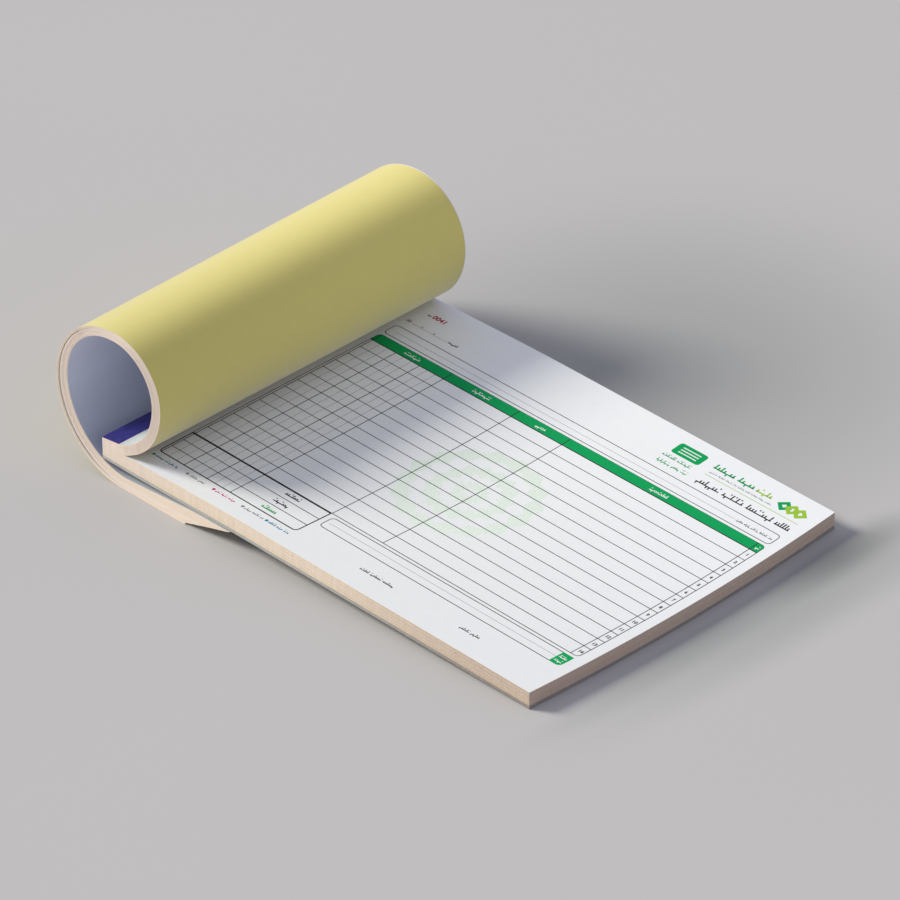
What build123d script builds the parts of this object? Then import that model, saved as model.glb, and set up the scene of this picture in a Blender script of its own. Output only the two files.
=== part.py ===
"""A duplicate receipt book, open part way through, with its used sets turned back.

The book is a stapled and taped pad on a grey backing board. Each set is a white original
and a yellow duplicate. The used sets are rolled over the spine, down behind it and in
under the pad, so the pad leans on the roll at its spine end and on its own free edge.

Everything is drawn lying flat first: x runs from the spine to the free edge, y along the
spine, z up from the underside of the board. The last step tips it to its resting lean.
Lengths are millimetres and angles are degrees.
"""

from build123d import *
from math import cos, degrees, radians, sin, sqrt, tan
import os

# Sheets: B4, landscape, bound on a short side, the free edge bowed out a little at its middle
LEAF_LENGTH = 353.0
LEAF_WIDTH = 250.0
FREE_EDGE_BOW = 5.0
LEAF_THICKNESS = 0.075
LEAF_KINDS = ("original", "duplicate")
SETS_PER_GATHERING = 5

# The pad: used sets turned back, two loose sets on top, then a part gathering and full ones
TURNED_GATHERINGS = 8
LOOSE_SETS = ("open", "next")
PART_GATHERING_SETS = 3
FULL_GATHERINGS = 11
BOARD_THICKNESS = 2.2

# The bound margin: cloth tape round the spine, staples under it, then the fold and a perforation
TAPE_FLAP = 15.0
TAPE_THICKNESS = 0.2
TAPE_TO_FOLD = 6.0
FOLD_TO_PERFORATION = 7.0
PERFORATION_GAP = 0.3
STAPLE_COUNT = 2
STAPLE_INSET = 7.0
STAPLE_CROWN = 13.0
STAPLE_CLINCH = 5.5
WIRE_THICKNESS = 0.5
WIRE_WIDTH = 0.9
WIRE_BEND = 0.4
WIRE_CLEARANCE = 0.1

# The roll of used sets, its bends measured on the outermost face, and the pad's lean on it
LEAN = 2.55
FOLD_RADIUS = 14.0
FOLD_ANGLE = 28.0
ROLL_FRONT_RADIUS = 48.2
ROLL_TOP_RADIUS = 36.7
SPINE_CLEARANCE = 0.5

# Air between one turned gathering and the next, from the front of the roll to the table
FRONT_AIR = 0.17
TOP_AIR = 0.08
BACK_AIR = 0.6
TABLE_AIR = 0.45

# The end of the roll lies on the table, then curls up to the underside of the board
CURL_START = 46.0
CURL_CLEARANCE = 0.3

# Places in the margin, and thicknesses and heights that follow from the counts
FOLD_START = TAPE_FLAP + TAPE_TO_FOLD
PERFORATION_INSET = FOLD_START + FOLD_TO_PERFORATION
FREE_EDGE = LEAF_LENGTH + FREE_EDGE_BOW
SET_THICKNESS = len(LEAF_KINDS) * LEAF_THICKNESS
GATHERING = SETS_PER_GATHERING * SET_THICKNESS
PART_GATHERING = PART_GATHERING_SETS * SET_THICKNESS
PART_GATHERING_TOP = BOARD_THICKNESS + FULL_GATHERINGS * GATHERING + PART_GATHERING
PAD_TOP = PART_GATHERING_TOP + len(LOOSE_SETS) * SET_THICKNESS
SPINE_TOP = PAD_TOP + TURNED_GATHERINGS * GATHERING


def block(x_range, y_range, z_range):
    """A square-edged sheet or stack between three pairs of limits."""
    ranges = (x_range, y_range, z_range)
    middle = [(low + high) / 2 for low, high in ranges]
    size = [high - low for low, high in ranges]
    return Pos(*middle) * Box(*size)


def about(middle, half_width):
    """The pair of limits that lie half_width each side of a middle."""
    return middle - half_width, middle + half_width


def staple_middles():
    """Places of the staples along the spine, evenly shared out."""
    return [LEAF_WIDTH * (i + 0.5) / STAPLE_COUNT for i in range(STAPLE_COUNT)]


def wire_grooves(z_range):
    """Grooves that the staples' crowns, or their clinched legs, are pressed into."""
    x_range = about(STAPLE_INSET, WIRE_WIDTH / 2 + WIRE_CLEARANCE)
    half_length = STAPLE_CROWN / 2 + WIRE_CLEARANCE
    return [block(x_range, about(y, half_length), z_range) for y in staple_middles()]


def leg_holes(z_range):
    """The slots that the staple legs pass through."""
    x_range = about(STAPLE_INSET, WIRE_WIDTH / 2 + WIRE_CLEARANCE)
    half_span = (STAPLE_CROWN - WIRE_THICKNESS) / 2
    half_slot = WIRE_THICKNESS / 2 + WIRE_CLEARANCE
    leg_middles = [end for y in staple_middles() for end in about(y, half_span)]
    return [block(x_range, about(y, half_slot), z_range) for y in leg_middles]


def sheet_outline():
    """A sheet's outline, as high as the pad: straight on three sides and bowed at the free edge."""
    near, far = (LEAF_LENGTH, 0), (LEAF_LENGTH, LEAF_WIDTH)
    free_edge = ThreePointArc(near, (FREE_EDGE, LEAF_WIDTH / 2), far)
    sides = Polyline(far, (0, LEAF_WIDTH), (0, 0), near)
    return extrude(make_face([free_edge, *sides.edges()]), PAD_TOP)


def bound_stack(z_range, length):
    """A flat stack of a length from the spine, pierced by the staple legs."""
    stack = block((0, length), (0, LEAF_WIDTH), z_range) & sheet_outline()
    return stack - leg_holes(z_range)


def backing_board():
    """Grey board, with the clinched staple legs pressed into its underside."""
    return bound_stack((0, BOARD_THICKNESS), FREE_EDGE) - wire_grooves((0, WIRE_THICKNESS))


def binding_tape():
    """Cloth tape folded round the spine, with one flap on the top sheet and one on the board."""
    along = (0, LEAF_WIDTH)
    outside = block((-TAPE_THICKNESS, TAPE_FLAP), along, (-TAPE_THICKNESS, SPINE_TOP + TAPE_THICKNESS))
    return outside - block((0, TAPE_FLAP), along, (0, SPINE_TOP))


def staple(y):
    """One flat-wire staple: its crown on the top sheet, its legs clinched under the board."""
    x_range = about(STAPLE_INSET, WIRE_WIDTH / 2)
    half_crown = STAPLE_CROWN / 2
    loop = block(x_range, about(y, half_crown), (0, SPINE_TOP))
    loop = fillet(loop.edges().filter_by(Axis.X), WIRE_BEND)
    inside_z = (WIRE_THICKNESS, SPINE_TOP - WIRE_THICKNESS)
    inside = block(x_range, about(y, half_crown - WIRE_THICKNESS), inside_z)
    between_points = block(x_range, about(y, half_crown - STAPLE_CLINCH), (0, WIRE_THICKNESS))
    return loop - inside - between_points


def loose_leaf(z_range):
    """One leaf of a loose set, as its bound stub and the part beyond the perforation."""
    stub = bound_stack(z_range, PERFORATION_INSET - PERFORATION_GAP / 2)
    x_range = (PERFORATION_INSET + PERFORATION_GAP / 2, FREE_EDGE)
    return stub, block(x_range, (0, LEAF_WIDTH), z_range) & sheet_outline()


def turned_depth(number, share, air=0.0):
    """How deep a face of a turned gathering lies under the roll's outermost face.

    Gathering 1 was turned first and lies innermost. share runs from 0 on its outer face to 1
    on its inner face, and air is what lies between one gathering and the next.
    """
    return (TURNED_GATHERINGS - number) * (GATHERING + air) + share * GATHERING


def line_to_top(number, share):
    """One face of a turned gathering, from the spine over the fold and up to the roll's top.

    A face that starts higher in the margin than the outermost one, and is bent tighter at the
    front, bends less tightly over the top.
    """
    height = PAD_TOP + turned_depth(number, share)
    front_radius = ROLL_FRONT_RADIUS - turned_depth(number, share, FRONT_AIR)
    top_radius = ROLL_TOP_RADIUS - turned_depth(number, share, TOP_AIR - FRONT_AIR)
    margin = Line((0, height), (FOLD_START, height))
    fold = JernArc(margin @ 1, margin % 1, FOLD_RADIUS - turned_depth(number, share, FRONT_AIR), FOLD_ANGLE)
    front = JernArc(fold @ 1, fold % 1, front_radius, 90 - FOLD_ANGLE)
    top = JernArc(front @ 1, front % 1, top_radius, 90)
    return [margin, fold, front, top]


def back_tightening(number, share):
    """How much tighter a face bends behind the spine than the roll's outermost face does."""
    return turned_depth(number, share, BACK_AIR + 2 * FRONT_AIR - TOP_AIR)


def foot_radius(start, level):
    """Radius of the bend that runs from straight down at start to a level over the table."""
    lean = radians(LEAN)
    drop = (FREE_EDGE - start.X) * sin(lean) + start.Y * cos(lean) - level
    return drop / (1 + sin(lean))


def tightest_back():
    """Radius behind the spine of the roll's innermost face, which just clears the taped edge.

    The larger this bend is, the smaller the foot bend that follows it down to the table: by
    the factor trade, from the size that it would have straight under the roll's top. Setting
    the foot's radius less the clearance equal to the distance from its centre to the tape's
    lower edge gives a quadratic. Its smaller root is the bend.
    """
    lean = radians(LEAN)
    top = line_to_top(1, 1)[-1] @ 1
    trade = (cos(lean) - sin(lean)) / (1 + sin(lean))
    foot = foot_radius(top, turned_depth(1, 1, TABLE_AIR))
    across = top.X + foot + TAPE_THICKNESS
    down = top.Y + TAPE_THICKNESS
    reach = foot - SPINE_CLEARANCE
    linear = across * (1 + trade) + down - reach * trade
    constant = (across**2 + down**2 - reach**2) / 2
    return (linear - sqrt(linear**2 - 4 * (1 + trade) * constant)) / (2 * (1 + trade))


def turned_line(number, share):
    """One face of a turned gathering, from the spine round the roll to where its end curls up.

    The gatherings are pressed together in the margin, and lie most loosely behind the spine.
    """
    lean = radians(LEAN)
    table = Vector(cos(lean), sin(lean))
    line = line_to_top(number, share)
    back_radius = tightest_back() + back_tightening(1, 1) - back_tightening(number, share)
    back = JernArc(line[-1] @ 1, line[-1] % 1, back_radius, 90)
    radius = foot_radius(back @ 1, turned_depth(number, share, TABLE_AIR))
    foot = JernArc(back @ 1, back % 1, radius, 90 + LEAN)
    flat = Line(foot @ 1, foot @ 1 + (CURL_START - (foot @ 1).dot(table)) * table)
    return line + [back, foot, flat]


def curl_length(number):
    """What is left of a turned gathering past the start of its curl, all being one length."""
    return LEAF_LENGTH - sum(edge.length for edge in turned_line(number, 0.5))


def curl_radius(level):
    """Radius of the curl at a level, set by the longest tip, which meets the board's underside."""
    lean = radians(LEAN)
    tip = curl_length(1)
    stack = turned_depth(1, 1, TABLE_AIR)
    board_height = (FREE_EDGE * cos(lean) - CURL_START - tip) * tan(lean)
    climb = board_height - stack - CURL_CLEARANCE
    return tip**2 / (2 * climb) + stack - level


def turned_gathering(number):
    """A gathering of used sets, stapled in the margin and carried all the way round the roll."""
    turn = degrees(curl_length(number) / curl_radius(turned_depth(number, 0.5, TABLE_AIR)))
    faces = []
    for share in (0, 1):
        line = turned_line(number, share)
        radius = curl_radius(turned_depth(number, share, TABLE_AIR))
        faces.append(line + [JernArc(line[-1] @ 1, line[-1] % 1, radius, turn)])
    outer, inner = faces
    spine_edge = Line(outer[0] @ 0, inner[0] @ 0)
    free_edge = Line(outer[-1] @ 1, inner[-1] @ 1)
    profile = make_face(outer + inner + [spine_edge, free_edge])
    sheets = extrude(Plane.XZ * profile, -LEAF_WIDTH)
    return sheets - leg_holes([PAD_TOP + turned_depth(number, share) for share in (0, 1)])


def book():
    """Every piece of the book by name, lying flat."""
    pieces = {
        "backing_board": backing_board(),
        "binding_tape": binding_tape(),
        "binding_staples": Compound([staple(y) for y in staple_middles()]),
    }

    # Unused gatherings from the board up, the topmost of them already started on
    low = BOARD_THICKNESS
    for number in range(FULL_GATHERINGS + 1, 0, -1):
        high = low + (PART_GATHERING if number == 1 else GATHERING)
        pieces[f"unused_gathering_{number}"] = bound_stack((low, high), FREE_EDGE)
        low = high

    # Loose leaves on top of them, the open original uppermost
    for name in reversed(LOOSE_SETS):
        for kind in reversed(LEAF_KINDS):
            high = low + LEAF_THICKNESS
            stub, leaf = loose_leaf((low, high))
            pieces[f"{name}_{kind}_stub"] = stub
            pieces[f"{name}_{kind}"] = leaf
            low = high

    # Turned gatherings, with the crowns of the staples pressed into the first one
    for number in range(1, TURNED_GATHERINGS + 1):
        pieces[f"turned_gathering_{number}"] = turned_gathering(number)
    pieces["turned_gathering_1"] -= wire_grooves((SPINE_TOP - WIRE_THICKNESS, SPINE_TOP))
    return pieces


def resting_place(pieces):
    """Tips the book onto its free edge and its roll, over the middle of the ground it covers."""
    tipped = Pos(0, 0, FREE_EDGE * sin(radians(LEAN))) * Rot(0, LEAN, 0)
    box = Compound([tipped * piece for piece in pieces.values()]).bounding_box()
    middle = box.center()
    return Pos(-middle.X, -middle.Y, 0) * tipped


pieces = book()
place = resting_place(pieces)
os.makedirs("parts", exist_ok=True)
for name, piece in pieces.items():
    export_step(place * piece, f"parts/{name}.step")
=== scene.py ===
"""The look of the duplicate receipt book: its leaves one by one, its print, finishes and light.

Sizes are millimetres in the pad's own flat frame, as in the part's source: x from the spine
to the free edge, y along the spine, z up from the underside of the board. PAD carries them
into the shared frame, in metres, with the pad tipped to its resting lean. Finishes and floor
are written in the shared frame.
"""

import math
import random

import bmesh
import bpy
from mathutils import Matrix, Vector


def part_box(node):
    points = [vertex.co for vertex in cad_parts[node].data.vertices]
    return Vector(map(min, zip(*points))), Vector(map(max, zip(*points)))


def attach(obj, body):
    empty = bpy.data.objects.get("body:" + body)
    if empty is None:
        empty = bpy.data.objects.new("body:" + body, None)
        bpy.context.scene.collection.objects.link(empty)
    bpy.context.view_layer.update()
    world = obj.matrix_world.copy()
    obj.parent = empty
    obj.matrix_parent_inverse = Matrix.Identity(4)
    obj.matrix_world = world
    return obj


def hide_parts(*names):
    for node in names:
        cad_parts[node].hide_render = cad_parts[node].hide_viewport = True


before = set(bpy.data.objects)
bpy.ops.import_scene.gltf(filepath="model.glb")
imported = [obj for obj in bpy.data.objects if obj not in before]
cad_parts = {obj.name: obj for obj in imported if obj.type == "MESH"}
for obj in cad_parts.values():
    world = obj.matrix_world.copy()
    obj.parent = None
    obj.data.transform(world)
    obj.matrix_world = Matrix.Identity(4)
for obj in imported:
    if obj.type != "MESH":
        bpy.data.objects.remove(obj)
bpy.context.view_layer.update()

MM = 0.001
QUARTER = math.pi / 2

# Leaves and stacks, as in the part
LEAF_LENGTH = 353.0
LEAF_WIDTH = 250.0
FREE_EDGE_BOW = 5.0
LEAF_THICKNESS = 0.075
LEAVES_PER_GATHERING = 10
TURNED_GATHERINGS = 8
PART_GATHERING_LEAVES = 6
FULL_GATHERINGS = 11
LOOSE_LEAVES = ("open_original", "open_duplicate", "next_original", "next_duplicate")
BOARD_THICKNESS = 2.2
PERFORATION = 28.0
PERFORATION_GAP = 0.3
FREE_EDGE = LEAF_LENGTH + FREE_EDGE_BOW
TURNED_LEAVES = TURNED_GATHERINGS * LEAVES_PER_GATHERING
UNUSED_LEAVES = FULL_GATHERINGS * LEAVES_PER_GATHERING + PART_GATHERING_LEAVES
UNUSED_TOP = BOARD_THICKNESS + UNUSED_LEAVES * LEAF_THICKNESS
PAD_TOP = UNUSED_TOP + len(LOOSE_LEAVES) * LEAF_THICKNESS

# The pad sags a little towards its spine, where the binding also presses it together
SAG = 2.0
SAG_START = 10.0
SAG_END = 135.0
PRESS = 0.17
PRESS_END = 50.0

# The roll on its outermost face. Pairs are its near and far ends, the far end a little looser
LEAN = math.radians(2.55)
FOLD_START = 17.0
FOLD_RADIUS = 12.0
FOLD_ANGLE = math.radians(28.0)
FOLD_TO_ROLL = (5.5, 2.9)
FRONT_RADIUS = (48.2, 49.4)
TOP_RADIUS = (36.7, 39.2)
BACK_RADIUS = (55.0, 55.0)

# Depth of the turned leaves from the spine round to the table, where they spread again
SPINE_DEPTH = 5.0
FOLD_DEPTH = 6.5
FRONT_DEPTH = 7.2
TOP_DEPTH = 6.4
BACK_DEPTH = 10.2
TABLE_DEPTH = 8.4
TAIL_DEPTH = 11.2
SPREAD_LENGTH = 55.0
TAIL_CLEARANCE = 0.25

# Where they end on the table: the outer ones all in one place, the rest further and further on
TAIL_STEP = 73.0
TAIL_END = 112.0
STEP_SHARE = 0.1

# Loose edges: air over each turned leaf, wider where the last sets part, and how far ends jog and slide
LEAF_AIR = 0.12
AIR_SPREAD = (0.2, 1.8)
PARTING_AIR = 11.0
PARTING_LEAF = 19
EDGE_JOG = 0.12
TAIL_JOG = 1.2
RIM_SETBACK = 0.45
TAIL_SLIDE = (2.0, 0.8)
SLIDE_RANGE = (-20.0, 76.0)

# The cloth tape round the spine
TAPE_FLAP = 15.0
TAPE_THICKNESS = 0.2
TAPE_CORNER = 0.6

# Flat-wire staples under it
STAPLE_COUNT = 2
STAPLE_INSET = 7.0
STAPLE_CROWN = 13.0
STAPLE_CLINCH = 5.5
WIRE_THICKNESS = 0.5
WIRE_WIDTH = 0.9

# Steps of the meshes, and the angle below which faces that meet are shaded as one
FLAT_STEPS = 20
ACROSS_STEPS = 12
FOLD_STEPS = 7
FOLD_RUN_STEPS = 2
FRONT_STEPS = 20
TOP_STEPS = 30
BACK_STEPS = 30
LANDING_STEPS = 34
TAIL_STEPS = 8
TAPE_STEPS = 6
TAPE_BACK_STEPS = 8
SMOOTH = math.radians(40)

FLAT_STATIONS = [SAG_END * i / FLAT_STEPS for i in range(FLAT_STEPS + 1)]
ACROSS = [LEAF_WIDTH * i / ACROSS_STEPS for i in range(ACROSS_STEPS + 1)]


def settled(x, height):
    """Where a height in a flat pad comes to lie at x."""
    press = PRESS * max(0.0, 1 - x / PRESS_END)**2
    share = min(max((x - SAG_START) / (SAG_END - SAG_START), 0.0), 1.0)
    sag = SAG * (1 + math.cos(math.pi * share)) / 2
    return height - press * max(0.0, height - BOARD_THICKNESS) - sag


def bowed(y):
    """How much of the free edge's bow there is at y, from 0 at the ends to 1 in the middle."""
    return 1.0 - (2 * y / LEAF_WIDTH - 1)**2


def pad_place():
    """The matrix from pad millimetres to the frame, found from where the board lies."""
    low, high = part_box("backing_board")
    spine_foot = Vector((low.x, low.y, low.z + FREE_EDGE * MM * math.sin(LEAN)))
    return Matrix.Translation(spine_foot) @ Matrix.Rotation(LEAN, 4, "Y") @ Matrix.Scale(MM, 4)


PAD = pad_place()


# Lines in the pad's side view


def smooth(share):
    """Eases a share in and out, and holds it between 0 and 1."""
    share = min(max(share, 0.0), 1.0)
    return share * share * (3 - 2 * share)


class SideLine:
    """A line of straight runs and bends, with how far along it each point lies."""

    def __init__(self, x, z, heading):
        self.points = [(x, z)]
        self.along = [0.0]
        self.heading = heading

    def run(self, length, steps=1):
        x, z = self.points[-1]
        start = self.along[-1]
        for i in range(1, steps + 1):
            part = length * i / steps
            self.points.append((x + part * math.cos(self.heading), z + part * math.sin(self.heading)))
            self.along.append(start + part)

    def bend(self, radius, angle, steps):
        x, z = self.points[-1]
        start = self.along[-1]
        middle_x = x - radius * math.sin(self.heading)
        middle_z = z + radius * math.cos(self.heading)
        for i in range(1, steps + 1):
            turned = self.heading + angle * i / steps
            self.points.append((middle_x + radius * math.sin(turned), middle_z - radius * math.cos(turned)))
            self.along.append(start + radius * angle * i / steps)
        self.heading += angle

    def reach(self, x, z):
        self.along.append(self.along[-1] + math.dist(self.points[-1], (x, z)))
        self.points.append((x, z))


def to_table(x, z):
    """A point's place along the table and its height over it."""
    height = (FREE_EDGE - x) * math.sin(LEAN) + z * math.cos(LEAN)
    return x * math.cos(LEAN) + z * math.sin(LEAN), height


def from_table(along, height):
    """The point in the side view at a place along the table and a height over it."""
    height -= FREE_EDGE * math.sin(LEAN)
    x = along * math.cos(LEAN) - height * math.sin(LEAN)
    return x, along * math.sin(LEAN) + height * math.cos(LEAN)


def margin_line(place):
    """A turned leaf's face in the margin, at a share of its depth from 0 below to 1 on top."""
    foot = settled(0, PAD_TOP) + place * SPINE_DEPTH
    rise = settled(FOLD_START, PAD_TOP) + place * FOLD_DEPTH - foot
    line = SideLine(0, foot, math.atan2(rise, FOLD_START))
    line.run(math.hypot(rise, FOLD_START))
    return line


def line_to_roll(place, depth, end):
    """A turned leaf's face from the spine over the fold to the start of the roll."""
    line = margin_line(place)
    line.bend(FOLD_RADIUS - depth * FRONT_DEPTH, FOLD_ANGLE - line.heading, FOLD_STEPS)
    line.run(FOLD_TO_ROLL[end], FOLD_RUN_STEPS)
    return line


def turned_line(place, depth, back_depth, tip, end):
    """A turned leaf's face from the spine round the roll to its tip on the table.

    place is its share of the margin's depth. depth is its share of the roll's, from 0 on the
    outside to 1 on the inside, and back_depth the same behind the spine. end is 0 for the near
    end of the roll and 1 for the far one. Also gives how far along the face the table begins.
    """
    line = line_to_roll(place, depth, end)
    outermost = line_to_roll(0, 0, end)
    shift_x, shift_z = [a - b for a, b in zip(line.points[-1], outermost.points[-1])]
    front = depth * FRONT_DEPTH
    top = depth * TOP_DEPTH + shift_z - front * math.cos(FOLD_ANGLE)
    back = back_depth * BACK_DEPTH - shift_x + front * (1 - math.sin(FOLD_ANGLE)) - top
    line.bend(FRONT_RADIUS[end] - front, QUARTER - FOLD_ANGLE, FRONT_STEPS)
    line.bend(TOP_RADIUS[end] - top, QUARTER, TOP_STEPS)
    line.bend(BACK_RADIUS[end] - back, QUARTER, BACK_STEPS)
    drop = to_table(*line.points[-1])[1] - depth * TABLE_DEPTH
    line.bend(drop / (1 + math.sin(LEAN)), QUARTER + LEAN, LANDING_STEPS)
    start = to_table(*line.points[-1])[0]
    table_begins = line.along[-1] - start
    for i in range(1, TAIL_STEPS + 1):
        along = start + (tip - start) * i / TAIL_STEPS
        spread = TABLE_DEPTH + (TAIL_DEPTH - TABLE_DEPTH) * min(1.0, (along - start) / SPREAD_LENGTH)
        under_board = to_table(along, settled(along, 0))[1] - TAIL_CLEARANCE
        line.reach(*from_table(along, depth * min(spread, under_board)))
    return line, table_begins


# Meshes


def placed(name, data):
    """A new object in the scene."""
    made = bpy.data.objects.new(name, data)
    bpy.context.scene.collection.objects.link(made)
    return made


class Parts:
    """Collects closed shapes into one mesh, each point with a tone and a distance along its leaf."""

    def __init__(self):
        self.points = []
        self.faces = []
        self.slots = []
        self.tone = []
        self.along = []

    def add(self, points, faces, slots, tone=0.0, along=None):
        first = len(self.points)
        self.points += points
        self.faces += [[first + i for i in face] for face in faces]
        self.slots += slots
        self.tone += [tone] * len(points)
        self.along += along or [0.0] * len(points)

    def make(self, name, materials, smooth_angle=None):
        """Links the mesh as an object, laid in its place, with its faces turned outwards."""
        mesh = bpy.data.meshes.new(name)
        mesh.from_pydata(self.points, [], self.faces)
        mesh.transform(PAD)
        mesh.polygons.foreach_set("material_index", self.slots)
        shapes = bmesh.new()
        shapes.from_mesh(mesh)
        bmesh.ops.recalc_face_normals(shapes, faces=shapes.faces)
        shapes.to_mesh(mesh)
        shapes.free()
        for label, values in (("tone", self.tone), ("along", self.along)):
            attribute = mesh.attributes.new(label, "FLOAT", "POINT")
            attribute.data.foreach_set("value", values)
        if smooth_angle is not None:
            mesh.shade_smooth()
            mesh.set_sharp_from_angle(angle=smooth_angle)
        for material in materials:
            mesh.materials.append(material)
        return placed(name, mesh)


def add_sheet(parts, outer, inner, along, face_slot, edge_slot, tone=0.0):
    """A closed sheet. Its outer and inner faces are rows of points, each row from near to far."""
    rows = len(outer)
    across = len(outer[0])
    side = rows * across
    points = [point for face in (outer, inner) for row in face for point in row]
    faces = []
    slots = []
    for i in range(rows - 1):
        for j in range(across - 1):
            a = i * across + j
            b = a + across
            faces += [(a, a + 1, b + 1, b), (a + side, b + side, b + side + 1, a + side + 1)]
            slots += [face_slot] * 2
    near = [i * across for i in range(rows)]
    far = [i * across + across - 1 for i in range(rows)]
    first = list(range(across))
    last = list(range(side - across, side))
    for edge in (near, far, first, last):
        for a, b in zip(edge, edge[1:]):
            faces.append((a, b, b + side, a + side))
            slots.append(edge_slot)
    parts.add(points, faces, slots, tone, [length * MM for length in along for point in range(across)] * 2)


def ruled(near, far, y_range):
    """Rows of two points each, between a line at the near end and one at the far end."""
    ends = [[(x, y, z) for x, z in line.points] for line, y in zip((near, far), y_range)]
    return [list(row) for row in zip(*ends)]


# Finishes

# Values that a noise mostly keeps between, and the colour that leaves another as it is
NOISE_RANGE = (0.3, 0.7)
UNCHANGED = (1, 1, 1)

# Sockets of Blender's mix node when it mixes colours
MIX_SHARE = 0
MIX_FIRST = 6
MIX_SECOND = 7
MIX_RESULT = 2

# Paper: colours, how its grain and a slow fade of painted light change them, and a cooler painted shade
# beside the roll
WHITE_PAPER = (0.865, 0.875, 0.91)
YELLOW_PAPER = (0.73, 0.63, 0.175)
YELLOW_SHEEN = 0.6
PAPER_SHADES = (0.93, 1.05)
PAINTED_LIGHT_FADE = 0.05
PAINTED_LIGHT_SPAN = (-LEAF_WIDTH * MM / 2, LEAF_WIDTH * MM / 2)
FIBRE_SHARE = 0.85
PAINTED_SHADE_TINT = (0.96, 0.97, 1.12)
PAINTED_SHADE_SPAN = (-0.135, -0.085)

# Painted shade on the roll's inside against metres along the leaf
INSIDE_PAINTED_SHADE = (
    (0.025, (0.70, 0.73, 0.73)),
    (0.05, (0.95, 0.98, 1.09)),
    (0.19, (0.95, 0.98, 1.09)),
    (0.25, (0.48, 0.52, 0.57)),
)

# Cut edges, the marks of the blade on them, and the painted shade that darkens edges and board towards the
# free end
EDGE_CREAM = (0.93, 0.80, 0.70)
EDGE_PEACH = (0.89, 0.72, 0.63)
BLADE_DARK = (0.88, 0.86, 0.85)
BLADE_LIGHT = (1.06, 1.06, 1.06)
FREE_END_SHADE = (0.68, 0.62, 0.62)
FREE_END_SHADE_SPAN = (-0.02, 0.18)

# Board, cloth, wire and ink
BOARD_DARK = (0.42, 0.41, 0.38)
BOARD_LIGHT = (0.55, 0.54, 0.50)
BOARD_FLECKS = (
    (0.28, (0.55, 0.54, 0.52)),
    (0.36, UNCHANGED),
    (0.66, UNCHANGED),
    (0.74, (1.3, 1.28, 1.2)),
)
CLOTH_TONES = ((0.2, (0.012, 0.009, 0.085)), (0.75, (0.045, 0.037, 0.30)))
THREAD_PITCH = 0.42
THREAD_RELIEF = 0.25
STEEL_DARK = (0.46, 0.46, 0.47)
STEEL_LIGHT = (0.66, 0.66, 0.67)
INK_SHADES = (0.9, 1.12)


def shade_of(colour, factor):
    """A colour made lighter or darker by a factor."""
    return tuple(min(1.0, channel * factor) for channel in colour)


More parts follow.
